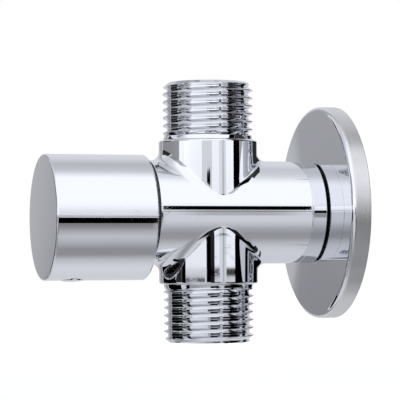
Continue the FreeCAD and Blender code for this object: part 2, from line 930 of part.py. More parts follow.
for obj in doc.Objects:
    if {"Invalid", "Error"} & set(obj.State):
        raise RuntimeError(f"{obj.Name} did not compute: {obj.State}")
for part in PARTS:
    if part.Shape.isNull() or not part.Shape.isValid():
        raise RuntimeError(f"{part.Label} has no valid shape")

os.makedirs("parts", exist_ok=True)
for part in PARTS:
    part.Shape.exportStep(f"parts/{part.Label}.step")
    print(part.Label, len(part.Shape.Solids), round(part.Shape.Volume, 1))
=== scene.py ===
import math

import bmesh
import bpy
import numpy as np
from mathutils import Matrix, Vector

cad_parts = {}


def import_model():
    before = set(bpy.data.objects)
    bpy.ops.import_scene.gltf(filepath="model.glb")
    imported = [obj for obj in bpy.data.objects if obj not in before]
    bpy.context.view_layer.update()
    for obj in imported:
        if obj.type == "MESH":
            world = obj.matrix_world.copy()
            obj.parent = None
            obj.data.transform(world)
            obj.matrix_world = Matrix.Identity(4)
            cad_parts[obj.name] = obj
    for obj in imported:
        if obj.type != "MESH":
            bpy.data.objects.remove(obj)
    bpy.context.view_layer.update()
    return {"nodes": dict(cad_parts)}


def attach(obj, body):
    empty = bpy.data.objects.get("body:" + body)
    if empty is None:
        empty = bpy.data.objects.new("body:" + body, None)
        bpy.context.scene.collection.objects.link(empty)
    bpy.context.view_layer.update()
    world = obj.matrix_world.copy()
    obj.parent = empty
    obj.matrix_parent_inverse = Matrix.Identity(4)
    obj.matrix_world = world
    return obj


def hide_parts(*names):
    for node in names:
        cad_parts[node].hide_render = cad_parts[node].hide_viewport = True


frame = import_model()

MM = 0.001
TAU = 2 * math.pi

# Places along the main axis, heights and radii, in millimetres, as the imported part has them
OUTLET_X = -30.73
TUBE_R = 11.93
BORE_R = 6.5
CHAMBER_R = 7.9
SHOULDER_Z = 16.5
TOP_Z = 30.0

SEAM_X = -9.25
NIPPLE_RING_R = 10.09
NIPPLE_RING_DEPTH = 1.76
INLET_SOCKET_R = 8.36
INLET_FLOOR_X = -18.53
SEAT_X = -23.33
SEAT_BORE_R = 4.3

SPIGOT_R = 10.7
MOUTH_X = -50.28
MOUTH_RING_R = 8.76
MOUTH_RING_DEPTH = 1.66
HEADWORK_SOCKET_R = 8.36
HEADWORK_SOCKET_DEPTH = 8.3

COLLAR_X = -5.8
NIPPLE_SHANK_R = 8.33
NIPPLE_SHANK_LENGTH = 8.2
NIPPLE_BORE_R = 5.5
HEXAGON_HALF = 6.0
HEXAGON_DEPTH = 8.0
GROOVE_R = 9.1
GROOVE_WIDTH = 2.0
LAND_WIDTH = 1.25
RELIEF_R = 9.2
RELIEF_END_X = -1.3
TAIL_X = 5.5

DISC_X = -5.38
RIM_X = -4.53
DISC_R = 24.8
PLATE_WALL = 1.0
HOLE_R = 11.05
LIP_LENGTH = 2.6
RUBBER_INNER_R = 9.13
RUBBER_OUTER_R = 11.0

KNOB_FRONT_X = -69.88
KNOB_REAR_X = -46.48
KNOB_R = 14.35
KNOB_HOLLOW_R = 12.95
KNOB_FACE = 2.0
KNOB_DROOP = 1.2
HUB_R = 8.5
HUB_BORE_R = 5.3
HUB_END_X = -55.6
CAP_R = 3.1
CAP_X = KNOB_FRONT_X + 6.5
CAP_PROUD = 0.3
CAP_LENGTH = 2.87
CAP_DOME = 0.42

# Three measures that differ a little from the solid's, so that the shadow lines fall as they do
# in the photograph: the step behind the knob (-45.88), the necks (11.567) and their fillet (2.0)
STEP_X = -45.45
NECK_R = 11.4
CROSSING_FILLET = 2.4

# The pipe thread: its crests, how it starts and ends, and where its rows lie within one pitch,
# closer together at the crest
THREAD_R = 10.4775
PITCH = 1.814
THREAD_DEPTH = 1.05
THREAD_SHARPNESS = 1.8
CREST_START = 0.5
ROOT_START = 0.7
END_SLOPE = 1.1
CREST_ROWS = (0.0, 0.045, 0.1, 0.17, 0.27, 0.42, 0.58, 0.73, 0.83, 0.9, 0.955)
UNDERCUT = 0.3
UNDERCUT_Z = SHOULDER_Z + 0.9
OUTLET_END_R = THREAD_R - 1.25
TAIL_END_R = THREAD_R - 1.0

# How finely the surfaces are divided, and what the shading takes for an edge, in degrees
COLUMNS = 192
HALF_COLUMNS = 96
WAIST_COLUMNS = 16
PLATE_COLUMNS = 288
KNOB_COLUMNS = 256
CAP_COLUMNS, DOME_ROWS = 96, 12
CORD_COLUMNS, CORD_ROWS = 160, 32
FILLET_ROWS = 12
NECK_ROWS = 10
TUBE_ROWS = 16
CHAMBER_ROWS = 8
ARC_STEPS = 5
FLAT_SUPPORT = 0.04
SHARP_ANGLE = 35.0


# Meshes from grids


def weld_grids(name, grids):
    """One mesh from grids of points: each grid is rows x columns x 3, closed across its columns.

    A grid may come with a shift: its last column then meets the first one that many rows further
    on, as a thread does after one turn. Rows that meet are welded, faces are turned outwards and
    edges sharper than SHARP_ANGLE split the shading.
    """
    points, faces, start = [], [], 0
    for grid in grids:
        grid, shift = grid if isinstance(grid, tuple) else (grid, 0)
        rows, columns = grid.shape[:2]
        index = start + np.arange(rows * columns).reshape(rows, columns)
        after = np.roll(index, -1, axis=1)
        if shift:
            after[:-shift, -1] = index[shift:, 0]
            after[-shift:, -1] = index[-1, 0]
        quads = np.stack([index[:-1], after[:-1], after[1:], index[1:]], axis=-1)
        faces.append(quads.reshape(-1, 4))
        points.append(grid.reshape(-1, 3) * MM)
        start += rows * columns
    mesh = bpy.data.meshes.new(name)
    mesh.from_pydata(np.concatenate(points).tolist(), [], np.concatenate(faces).tolist())
    work = bmesh.new()
    work.from_mesh(mesh)
    bmesh.ops.remove_doubles(work, verts=work.verts, dist=2e-7)
    bmesh.ops.recalc_face_normals(work, faces=work.faces)
    work.to_mesh(mesh)
    work.free()
    mesh.polygons.foreach_set("use_smooth", np.ones(len(mesh.polygons), bool))
    mesh.set_sharp_from_angle(angle=math.radians(SHARP_ANGLE))
    mesh.update()
    obj = bpy.data.objects.new(name, mesh)
    bpy.context.scene.collection.objects.link(obj)
    return obj


def rounded(points):
    """A profile whose corners are arcs: each point is (along, radius) or (along, radius, round).

    A corner with a round becomes the arc that touches both its runs. A point just outside each
    end of the arc keeps the flat runs flat in the shading.
    """
    spots = [np.array(p[:2], float) for p in points]
    sizes = [p[2] if len(p) > 2 else 0 for p in points]
    out = [spots[0]]
    for before, here, after, size in zip(spots, spots[1:], spots[2:], sizes[1:]):
        back, onward = before - here, after - here
        back_length, onward_length = np.linalg.norm(back), np.linalg.norm(onward)
        back, onward = back / back_length, onward / onward_length
        half = math.acos(float(np.clip(back @ onward, -1, 1))) / 2
        if size == 0 or half > math.radians(89):
            out.append(here)
            continue
        reach = min(size / math.tan(half), 0.45 * back_length, 0.45 * onward_length)
        size = reach * math.tan(half)
        middle = here + (back + onward) / np.linalg.norm(back + onward) * size / math.sin(half)
        first, last = here + back * reach, here + onward * reach
        lead = min(FLAT_SUPPORT, 0.4 * (back_length - reach), 0.4 * (onward_length - reach))
        out.append(first + back * lead)
        turn_from, turn_to = first - middle, last - middle
        whole = math.pi - 2 * half
        for k in range(ARC_STEPS + 1):
            part = whole * k / ARC_STEPS
            out.append(middle + (turn_from * math.sin(whole - part) + turn_to * math.sin(part))
                       / math.sin(whole))
        out.append(last + onward * lead)
    out.append(spots[-1])
    return np.array(out)


def turned_grid(profile, columns=COLUMNS, axis="x", centre=(0.0, 0.0, 0.0)):
    """A profile of (along, radius) carried round an axis through a centre."""
    angle = np.linspace(0, TAU, columns, endpoint=False)
    along = np.repeat(profile[:, :1], columns, axis=1)
    first = profile[:, 1:2] * np.cos(angle)
    second = profile[:, 1:2] * np.sin(angle)
    order = (along, first, second) if axis == "x" else (first, second, along)
    return np.stack(order, axis=-1) + np.array(centre)


def turned(name, points, columns, axis="x", centre=(0.0, 0.0, 0.0)):
    """One closed piece turned from the points of its profile."""
    return weld_grids(name, [turned_grid(rounded(points), columns, axis, centre)])


def fade(value, low, high):
    """A smooth rise from 0 at low to 1 at high: three squares less two cubes of the share."""
    share = np.clip((value - low) / (high - low), 0, 1)
    return share * share * (3 - 2 * share)


def thread_grid(low, high, low_r, high_r, hand=1):
    """A thread's skin whose rows follow the helix, from a plain ring at each end.

    Row k lies at its own share of the pitch, raised by one pitch over one turn and held between
    low and high. The radius is the crest's, less the depth times one minus a cosine crest to the
    power THREAD_SHARPNESS. The crest rises from low_r within CREST_START, the roots deepen within
    ROOT_START, and END_SLOPE takes the crest down to high_r. The grid holds along, first across
    and second across, and comes with the shift of its last column.
    """
    turn_share = np.arange(COLUMNS) / COLUMNS
    turns = int(math.ceil((high - low) / PITCH)) + 2
    share = (np.arange(turns)[:, None] + np.array(CREST_ROWS)).reshape(-1, 1)
    along = np.clip(low + PITCH * (share - 1 + turn_share), low, high)
    crest = ((1 + np.cos(TAU * share)) / 2) ** THREAD_SHARPNESS
    depth = THREAD_DEPTH * (1 - crest) * fade(along, low, low + ROOT_START)
    radius = low_r + (THREAD_R - low_r) * fade(along, low, low + CREST_START) - depth
    radius = np.minimum(radius, high_r + (high - along) * END_SLOPE)
    angle = hand * TAU * turn_share
    grid = np.stack([along, radius * np.cos(angle), radius * np.sin(angle)], axis=-1)
    return grid, len(CREST_ROWS)


# The body: a tube with two necks across it


def crossing(angle, tube_r, neck_r, fillet):
    """Middle of the ball that rolls between tube and neck, and where it touches each.

    The ball keeps one distance from the upright axis and one from the main axis, so its middle
    stands at neck_r + fillet in the given direction, at the height where the circle of
    tube_r + fillet passes.
    """
    reach = neck_r + fillet
    x, y = reach * np.cos(angle), reach * np.sin(angle)
    z = np.sqrt((tube_r + fillet) ** 2 - y ** 2)
    on_tube = tube_r / (tube_r + fillet)
    on_neck = neck_r / reach
    return (
        np.stack([x, y, z], axis=-1),
        np.stack([x, y * on_tube, z * on_tube], axis=-1),
        np.stack([x * on_neck, y * on_neck, z], axis=-1),
    )


def arc_rows(middle, first, last, count):
    """Rows of an arc from first to last round a middle, all of the same radius."""
    a, b = first - middle, last - middle
    radius = np.linalg.norm(a, axis=-1, keepdims=True)
    cosine = np.clip((a * b).sum(-1, keepdims=True) / radius ** 2, -1, 1)
    whole = np.arccos(cosine)
    share = np.linspace(0, 1, count)[:, None, None]
    return middle + (a * np.sin((1 - share) * whole) + b * np.sin(share * whole)) / np.sin(whole)


def outlet_grids(side):
    """One outlet, from its line on the tube over fillet, neck, shoulder and thread into its bore.

    side is 1 for the upper outlet and -1 for the lower one. Columns go once round the upright
    axis. The thread stays right-handed on both.
    """
    angle = np.linspace(0, TAU, 2 * HALF_COLUMNS, endpoint=False)
    middle, on_tube, on_neck = crossing(angle, TUBE_R, NECK_R, CROSSING_FILLET)
    rows = [arc_rows(middle, on_tube, on_neck, FILLET_ROWS)]

    def ring(radius, height):
        radius = np.broadcast_to(radius, angle.shape)
        height = np.broadcast_to(height, angle.shape)
        return np.stack([radius * np.cos(angle), radius * np.sin(angle), height], axis=-1)[None]

    share = np.linspace(0, 1, NECK_ROWS)[1:]
    shoulder = rounded([(SHOULDER_Z - 1.2, NECK_R), (SHOULDER_Z, NECK_R, 0.45),
                        (SHOULDER_Z, THREAD_R, 0.25), (UNDERCUT_Z, THREAD_R - UNDERCUT)])
    rows += [ring(NECK_R, on_neck[:, 2] + (shoulder[0, 0] - on_neck[:, 2]) * s) for s in share]
    rows += [ring(radius, height) for height, radius in shoulder[1:]]
    thread, shift = thread_grid(UNDERCUT_Z, TOP_Z, THREAD_R - UNDERCUT, OUTLET_END_R, hand=side)
    bore_z = TOP_Z - 3.0
    mouth = rounded([(TOP_Z, OUTLET_END_R), (TOP_Z, BORE_R + 0.5, 0.15),
                     (TOP_Z - 0.5, BORE_R, 0.2), (bore_z, BORE_R)])
    inside = [ring(radius, height) for height, radius in mouth]
    inner = np.sqrt(CHAMBER_R ** 2 - (BORE_R * np.sin(angle)) ** 2)
    inside += [ring(BORE_R, bore_z + (inner - bore_z) * s) for s in share]
    place, flip = np.array([OUTLET_X, 0, 0]), np.array([1, 1, side])
    return [np.concatenate(rows) * flip + place,
            (thread[..., [1, 2, 0]] * flip + place, shift),
            np.concatenate(inside) * flip + place]


def tube_grid(side, profile):
    """Half of the tube, from the necks' lines out along the profile and back to the bores' lines.

    side is 1 towards the wall and -1 towards the knob. Columns go once round the main axis: over
    the upper neck's half line, down the back waist, along the lower neck's half line and up the
    front waist. The profile is (along, radius) from the tube's outside to the chamber's wall.
    """
    quarter = math.pi / 2
    angle = np.linspace(-quarter, quarter, HALF_COLUMNS + 1)
    if side < 0:
        angle = math.pi - angle

    def half_line(points):
        return points[:, 0], np.arctan2(points[:, 2], points[:, 1])

    def full_line(x, turn_angle):
        """Upper line from front to back, back waist, lower line mirrored, front waist."""
        share = np.linspace(0, 1, WAIST_COLUMNS + 1)[1:-1]
        front, back = turn_angle[0], turn_angle[-1]
        waist = np.zeros(WAIST_COLUMNS - 1)
        turns = [turn_angle, back - 2 * back * share, -turn_angle[::-1],
                 -front + (2 * front - TAU) * share]
        return np.concatenate([x, waist, x[::-1], waist]), np.concatenate(turns)

    outer_line = crossing(angle, TUBE_R, NECK_R, CROSSING_FILLET)[1]
    y = BORE_R * np.sin(angle)
    inner_line = np.stack([BORE_R * np.cos(angle), y, np.sqrt(CHAMBER_R ** 2 - y ** 2)], axis=-1)
    outer_x, outer_turn = full_line(*half_line(outer_line))
    inner_x, inner_turn = full_line(*half_line(inner_line))
    rows = []

    def row(x, radius, turn_angle):
        rows.append(np.stack([np.broadcast_to(x, turn_angle.shape), radius * np.cos(turn_angle),
                              radius * np.sin(turn_angle)], axis=-1))

    for share in np.linspace(0, 1, TUBE_ROWS)[:-1]:
        row(outer_x + OUTLET_X + (profile[0, 0] - outer_x - OUTLET_X) * share, TUBE_R, outer_turn)
    for k, (x, radius) in enumerate(profile):
        share = k / (len(profile) - 1)
        row(x, radius, outer_turn + (inner_turn - outer_turn) * share)
    for share in np.linspace(0, 1, CHAMBER_ROWS)[1:]:
        row(profile[-1, 0] + (inner_x + OUTLET_X - profile[-1, 0]) * share, CHAMBER_R, inner_turn)
    return np.stack(rows)


def valve_body():
    """The tee as one closed skin: two outlets and two halves of the tube, welded together."""
    right = rounded([
        (SEAM_X - 0.6, TUBE_R),
        (SEAM_X, TUBE_R, 0.08),
        (SEAM_X, NIPPLE_RING_R),
        (SEAM_X - NIPPLE_RING_DEPTH, NIPPLE_RING_R),
        (SEAM_X - NIPPLE_RING_DEPTH, INLET_SOCKET_R),
        (INLET_FLOOR_X, INLET_SOCKET_R),
        (INLET_FLOOR_X, SEAT_BORE_R),
        (SEAT_X, SEAT_BORE_R),
        (SEAT_X, CHAMBER_R),
        (SEAT_X - 0.2, CHAMBER_R),
    ])
    left = rounded([
        (STEP_X + 0.8, TUBE_R),
        (STEP_X, TUBE_R, 0.2),
        (STEP_X, SPIGOT_R, 0.1),
        (MOUTH_X, SPIGOT_R, 0.15),
        (MOUTH_X, MOUTH_RING_R),
        (MOUTH_X + MOUTH_RING_DEPTH, MOUTH_RING_R),
        (MOUTH_X + MOUTH_RING_DEPTH, HEADWORK_SOCKET_R),
        (MOUTH_X + HEADWORK_SOCKET_DEPTH, HEADWORK_SOCKET_R),
        (MOUTH_X + HEADWORK_SOCKET_DEPTH, CHAMBER_R),
        (MOUTH_X + HEADWORK_SOCKET_DEPTH + 0.2, CHAMBER_R),
    ])
    return weld_grids("body_tee", outlet_grids(1) + outlet_grids(-1)
                      + [tube_grid(1, right), tube_grid(-1, left)])


def inlet_nipple():
    """Front thread, collar, ring groove and threaded tail outside; bore and hexagon inside."""
    front_x, floor_x = SEAM_X - NIPPLE_SHANK_LENGTH, TAIL_X - HEXAGON_DEPTH
    groove_end_x = COLLAR_X + GROOVE_WIDTH
    land_end_x = groove_end_x + LAND_WIDTH
    angle = np.linspace(0, TAU, COLUMNS, endpoint=False)
    outside = rounded([
        (front_x, NIPPLE_BORE_R), (front_x, NIPPLE_SHANK_R, 0.2), (SEAM_X, NIPPLE_SHANK_R),
        (SEAM_X, TUBE_R, 0.08), (COLLAR_X, TUBE_R, 0.15), (COLLAR_X, GROOVE_R),
        (groove_end_x, GROOVE_R), (groove_end_x, THREAD_R, 0.1), (land_end_x, THREAD_R, 0.1),
        (land_end_x, RELIEF_R), (RELIEF_END_X, RELIEF_R),
    ])
    sixth = TAU / 6
    flats = HEXAGON_HALF / np.cos(np.mod(angle, sixth) - sixth / 2)
    even = np.ones(COLUMNS)
    inside = np.stack([
        np.stack([even * x, radius * np.cos(angle), radius * np.sin(angle)], axis=-1)
        for x, radius in ((TAIL_X, TAIL_END_R * even), (TAIL_X, flats + 0.3),
                          (TAIL_X - 0.3, flats), (floor_x, flats),
                          (floor_x, NIPPLE_BORE_R * even), (front_x, NIPPLE_BORE_R * even))
    ])
    return weld_grids("nipple", [turned_grid(outside),
                                 thread_grid(RELIEF_END_X, TAIL_X, RELIEF_R, TAIL_END_R), inside])


def escutcheon():
    """The drawn cup: coned face, rolled rim, and the lip drawn back round the hole."""
    middle = ((DISC_X + RIM_X) / 2, (DISC_R + HOLE_R) / 2)
    lip_r, lip_x = HOLE_R + PLATE_WALL, DISC_X + LIP_LENGTH
    return turned("wall_plate", [
        middle, (RIM_X, DISC_R, 1.1), (0, DISC_R, 0.15), (0, DISC_R - PLATE_WALL, 0.15),
        (RIM_X + PLATE_WALL, DISC_R - PLATE_WALL, 0.3), (DISC_X + PLATE_WALL, lip_r, 0.3),
        (lip_x, lip_r, 0.15), (lip_x, HOLE_R, 0.15), (DISC_X, HOLE_R, 0.15), middle,
    ], PLATE_COLUMNS)


def knob_shell():
    """The knob's cup with its hub, hung a little below the main axis."""
    floor_x = KNOB_FRONT_X + KNOB_FACE
    cup = rounded([
        (KNOB_FRONT_X, 0), (KNOB_FRONT_X, KNOB_R, 0.4), (KNOB_REAR_X, KNOB_R, 0.3),
        (KNOB_REAR_X, KNOB_HOLLOW_R, 0.2), (floor_x, KNOB_HOLLOW_R, 0.6), (floor_x, HUB_R, 0.6),
        (HUB_END_X, HUB_R, 0.2), (HUB_END_X, HUB_BORE_R, 0.2), (floor_x, HUB_BORE_R, 0.1),
        (floor_x, 0),
    ])
    return weld_grids("knob_cup", [
        turned_grid(cup, KNOB_COLUMNS, centre=(0.0, 0.0, -KNOB_DROOP))])


def screw_cap():
    """A plug with a domed foot: the dome falls by the square of the radius."""
    foot = -KNOB_R - KNOB_DROOP - CAP_PROUD
    dome = [(foot + CAP_DOME * share ** 2, CAP_R * share)
            for share in np.linspace(0, 1, DOME_ROWS)]
    return turned("cap_plug", dome + [(foot + CAP_LENGTH, CAP_R, 0.1), (foot + CAP_LENGTH, 0)],
                  CAP_COLUMNS, "z", (CAP_X, 0.0, 0.0))


def ring_of_rubber(name, inner, outer, x):
    """A round cord laid in a ring, a circle turned round the main axis."""
    middle, cord = (inner + outer) / 2, (outer - inner) / 2
    around = np.linspace(0, TAU, CORD_ROWS)
    profile = np.stack([x + cord * np.cos(around), middle + cord * np.sin(around)], axis=-1)
    return weld_grids(name, [turned_grid(profile, CORD_COLUMNS)])


# Materials


def new_material(name):
    """A material with nodes: itself, its nodes, its links and its shader."""
    material = bpy.data.materials.new(name)
    material.use_nodes = True
    nodes, links = material.node_tree.nodes, material.node_tree.links
    return material, nodes, links, nodes["Principled BSDF"]


def new_group(name, inputs, outputs):
    """A node group with named sockets: (name, kind, default) going in and (name, kind) out."""
    group = bpy.data.node_groups.new(name, "ShaderNodeTree")
    for label, kind, default in inputs:
        socket = group.interface.new_socket(name=label, in_out="INPUT",
                                            socket_type="NodeSocket" + kind)
        if default is not None:
            socket.default_value = default
    for label, kind in outputs:
        group.interface.new_socket(name=label, in_out="OUTPUT", socket_type="NodeSocket" + kind)
    nodes = group.nodes
    return group, nodes, group.links, nodes.new("NodeGroupInput"), nodes.new("NodeGroupOutput")


def set_inputs(node, links, **values):
    """Give a node's sockets their values; spaces in the sockets' names are underscores here."""
    for label, value in values.items():
        socket = node.inputs[label.replace("_", " ")]
        if isinstance(value, bpy.types.NodeSocket):
            links.new(value, socket)
        else:
            socket.default_value = value
    return node


def calculate(nodes, links, operation, *values):
    """The result of one operation on sockets or numbers."""
    node = nodes.new("ShaderNodeMath")
    node.operation = operation
    for socket, value in zip(node.inputs, values):
        if isinstance(value, (int, float)):
            socket.default_value = value
        else:
            links.new(value, socket)
    return node.outputs["Value"]


def step_between(nodes, links, value, low, high):
    """A smooth rise from 0 where the value is low to 1 where it is high."""
    node = nodes.new("ShaderNodeMapRange")
    node.interpolation_type = "SMOOTHSTEP"
    set_inputs(node, links, Value=value, From_Min=low, From_Max=high)
    return node.outputs["Result"]


# How fine the signs of use are, in repeats a metre: smudges and turned lines on chrome and on
# the rest, two sets of scratches with their turn, where they gather, dried drops and grain
CHROME_SMUDGES, CHROME_LINES = 90.0, 5000.0
PLAIN_SMUDGES, PLAIN_LINES = 140.0, 6000.0
SCRATCH_LAYS = (((0.3, 0.5, 0.9), (30, 2600, 2600)), ((1.1, -0.4, 0.2), (2600, 40, 2600)))
SCRATCH_WIDTH = 0.012
GATHERING = 260.0
DROPS = 420.0
GRAIN = 2400.0


def wear_group():
    """Signs of use: soft smudges, broken hair-fine scratches, dried drops' rims and fine grain."""
    group, nodes, links, given, result = new_group(
        "wear", [("Place", "Vector", None), ("Size", "Float", CHROME_SMUDGES)],
        [("Smudges", "Float"), ("Scratches", "Float"), ("Drops", "Float"), ("Grain", "Float")])
    place, size = given.outputs["Place"], given.outputs["Size"]

    def cloud(vector, scale, detail):
        noise = nodes.new("ShaderNodeTexNoise")
        set_inputs(noise, links, Vector=vector, Scale=scale, Detail=detail)
        return noise.outputs["Fac"]

    soft = cloud(place, size, 5.0)
    links.new(step_between(nodes, links, soft, 0.42, 0.68), result.inputs["Smudges"])
    lines = []
    for turn_by, stretch in SCRATCH_LAYS:
        mapping = nodes.new("ShaderNodeMapping")
        set_inputs(mapping, links, Vector=place, Rotation=turn_by, Scale=stretch)
        hair = calculate(nodes, links, "ABSOLUTE", calculate(
            nodes, links, "SUBTRACT", cloud(mapping.outputs["Vector"], 1.0, 1.0), 0.5))
        lines.append(step_between(nodes, links, hair, SCRATCH_WIDTH, 0.0))
    either = calculate(nodes, links, "MAXIMUM", *lines)
    broken = step_between(nodes, links, cloud(place, GATHERING, 2.0), 0.56, 0.66)
    links.new(calculate(nodes, links, "MULTIPLY", either, broken), result.inputs["Scratches"])
    drops = nodes.new("ShaderNodeTexVoronoi")
    set_inputs(drops, links, Vector=place, Scale=DROPS)
    reach = drops.outputs["Distance"]
    rim = calculate(nodes, links, "MULTIPLY", step_between(nodes, links, reach, 0.2, 0.27),
                    step_between(nodes, links, reach, 0.31, 0.27))
    some = step_between(nodes, links, soft, 0.55, 0.6)
    links.new(calculate(nodes, links, "MULTIPLY", rim, some), result.inputs["Drops"])
    links.new(cloud(place, GRAIN, 2.0), result.inputs["Grain"])
    return group


def turned_group():
    """Tool marks of a turned piece: fine lines that run round the main axis, slowly changing."""
    group, nodes, links, given, result = new_group(
        "turned_marks", [("Place", "Vector", None), ("Fineness", "Float", CHROME_LINES)],
        [("Marks", "Float"), ("Radius", "Float")])
    parts = nodes.new("ShaderNodeSeparateXYZ")
    links.new(given.outputs["Place"], parts.inputs["Vector"])
    x, y, z = parts.outputs
    radius = calculate(nodes, links, "SQRT", calculate(
        nodes, links, "ADD", calculate(nodes, links, "MULTIPLY", y, y),
        calculate(nodes, links, "MULTIPLY", z, z)))
    joined = nodes.new("ShaderNodeCombineXYZ")
    fine = given.outputs["Fineness"]
    around = calculate(nodes, links, "ARCTAN2", z, y)
    set_inputs(joined, links, X=calculate(nodes, links, "MULTIPLY", x, fine),
               Y=calculate(nodes, links, "MULTIPLY", radius, fine),
               Z=calculate(nodes, links, "MULTIPLY", around, 3.0))
    noise = nodes.new("ShaderNodeTexNoise")
    set_inputs(noise, links, Vector=joined.outputs["Vector"], Scale=1.0, Detail=2.0)
    links.new(noise.outputs["Fac"], result.inputs["Marks"])
    links.new(radius, result.inputs["Radius"])
    return group


WEAR = wear_group()
TURNED = turned_group()


def use_groups(nodes, links, size, fineness, lift=0.0):
    """Both groups at the piece's own place, raised by lift: the place and the groups' outputs."""
    shifted = nodes.new("ShaderNodeVectorMath")
    shifted.inputs[1].default_value = (0, 0, lift)
    links.new(nodes.new("ShaderNodeTexCoord").outputs["Object"], shifted.inputs[0])
    place = shifted.outputs["Vector"]
    wear, turned_marks = nodes.new("ShaderNodeGroup"), nodes.new("ShaderNodeGroup")
    wear.node_tree, turned_marks.node_tree = WEAR, TURNED
    set_inputs(wear, links, Place=place, Size=size)
    set_inputs(turned_marks, links, Place=place, Fineness=fineness)
    return place, wear.outputs, turned_marks.outputs


def raise_by(nodes, links, shader, height, strength, distance):
    """Give the shader a relief from a height."""
    bump = nodes.new("ShaderNodeBump")
    set_inputs(bump, links, Height=height, Strength=strength, Distance=distance)
    links.new(bump.outputs["Normal"], shader.inputs["Normal"])


def blend(nodes, links, share, first, second):
    """A colour between two, by a share of the second."""
    mix = nodes.new("ShaderNodeMix")
    mix.data_type = "RGBA"
    links.new(share, mix.inputs[0])
    for socket, colour in ((mix.inputs[6], first), (mix.inputs[7], second)):
        if isinstance(colour, bpy.types.NodeSocket):
            links.new(colour, socket)
        else:
            socket.default_value = (*colour, 1)
    return mix.outputs[2]


# Chrome's least roughness and its tints: clean, worn, painted shade inside the knob, painted shade
# on the spigot under the knob and in the bores, and brushed
POLISH = 0.020
CHROME_TINT = (0.80, 0.81, 0.84)
WORN_CHROME_TINT = (0.62, 0.62, 0.63)
PAINTED_SHADE_IN_KNOB = (0.13, 0.13, 0.135)
PAINTED_SHADE_UNDER_KNOB = (0.22, 0.21, 0.19)
BRUSHED_TINT = (0.71, 0.71, 0.71)


def chrome(name, rough_tint_and_shade_where=None, rough=0.3, lift=0.0):
    """Polished chrome with smudges, hair scratches and dried drops.

    The function given second makes, from x and the radius, a mask of a rougher area and gives its
    colour; inside the knob, and on the spigot that the knob covers with the bores, that colour is
    painted shade. lift brings the piece's own axis to the main one.
    """
    material, nodes, links, shader = new_material(name)
    place, wear, marks = use_groups(nodes, links, CHROME_SMUDGES, CHROME_LINES, lift)

    def add(one, other, share):
        return calculate(nodes, links, "ADD", one,
                         calculate(nodes, links, "MULTIPLY", other, share))

    roughness = add(add(add(POLISH, wear["Smudges"], 0.014), wear["Scratches"], 0.035),
                    wear["Drops"], 0.012)
    worn = calculate(nodes, links, "MAXIMUM", wear["Drops"], wear["Scratches"])
    colour = blend(nodes, links, calculate(nodes, links, "MULTIPLY", worn, 0.12),
                   CHROME_TINT, WORN_CHROME_TINT)
    height = calculate(nodes, links, "MULTIPLY", wear["Scratches"], -0.06)
    if rough_tint_and_shade_where:
        parts = nodes.new("ShaderNodeSeparateXYZ")
        links.new(place, parts.inputs["Vector"])
        mask, dark = rough_tint_and_shade_where(nodes, links, parts.outputs["X"], marks["Radius"])
        satin = add(rough - 0.05, marks["Marks"], 0.1)
        roughness = add(roughness, calculate(nodes, links, "MULTIPLY", mask, satin), 1.0)
        # Blends in the area's colour: the brushed rim's own tint, or painted shade inside the knob
        # and on the covered spigot
        colour = blend(nodes, links, mask, colour, dark)
        height = add(height, calculate(nodes, links, "MULTIPLY", mask, marks["Marks"]), 1.0)
    links.new(roughness, shader.inputs["Roughness"])
    links.new(colour, shader.inputs["Base Color"])
    shader.inputs["Metallic"].default_value = 1
    raise_by(nodes, links, shader, height, 0.25, 0.00002)
    return material


def brushed_rim(nodes, links, x, radius):
    """The escutcheon's rim is brushed along its turn."""
    outer = step_between(nodes, links, radius, (DISC_R - 0.06) * MM, (DISC_R - 0.03) * MM)
    return outer, BRUSHED_TINT


def dull_shaded_knob_inside(nodes, links, x, radius):
    """Under the knob's skin, behind its front wall, the casting is left dull, and its dark colour
    there, on the hollow inside and the rear face, is painted shade.
    """
    skin = KNOB_R - 0.35
    deep = step_between(nodes, links, radius, skin * MM, (skin - 0.1) * MM)
    behind = step_between(nodes, links, x, (KNOB_FRONT_X + 0.9) * MM, (KNOB_FRONT_X + 1.0) * MM)
    return calculate(nodes, links, "MULTIPLY", deep, behind), PAINTED_SHADE_IN_KNOB


def machined_shaded_under_knob(nodes, links, x, radius):
    """The spigot that the knob covers, and the bores, are left as machined in their roughness, and
    their dark colour is painted shade.
    """
    inner = step_between(nodes, links, radius, (SPIGOT_R + 0.1) * MM, (SPIGOT_R + 0.05) * MM)
    outside = step_between(nodes, links, x, (STEP_X + 0.15) * MM, (STEP_X + 0.1) * MM)
    return calculate(nodes, links, "MULTIPLY", inner, outside), PAINTED_SHADE_UNDER_KNOB


def plain(name, colour, worn_colour, metallic, roughness, marks_share=0.0, bump=0.15,
          coat=0.0):
    """Metal, rubber, ceramic or plastic: a worn tint in clouds, tool marks and fine grain."""
    material, nodes, links, shader = new_material(name)
    _, wear, marks = use_groups(nodes, links, PLAIN_SMUDGES, PLAIN_LINES)
    tint = blend(nodes, links, calculate(nodes, links, "MULTIPLY", wear["Smudges"], 0.6),
                 colour, worn_colour)
    links.new(tint, shader.inputs["Base Color"])
    grain = calculate(nodes, links, "MULTIPLY", wear["Grain"], roughness * 0.5)
    lines = calculate(nodes, links, "MULTIPLY", marks["Marks"], marks_share)
    scratched = calculate(nodes, links, "MULTIPLY", wear["Scratches"], 0.12)
    total = calculate(nodes, links, "ADD", calculate(nodes, links, "ADD", grain, scratched),
                      calculate(nodes, links, "ADD", lines, roughness * 0.75))
    links.new(total, shader.inputs["Roughness"])
    shader.inputs["Metallic"].default_value = metallic
    shader.inputs["Coat Weight"].default_value = coat
    relief = calculate(nodes, links, "ADD",
                       calculate(nodes, links, "MULTIPLY", wear["Grain"], 0.4),
                       calculate(nodes, links, "MULTIPLY", lines, 4.0))
    raise_by(nodes, links, shader, relief, bump, 0.00004)
    return material


# The strainer's wires: how fast their waves run along the axis and round it
WIRES_ALONG = 5200.0
WIRES_ROUND = 26.0


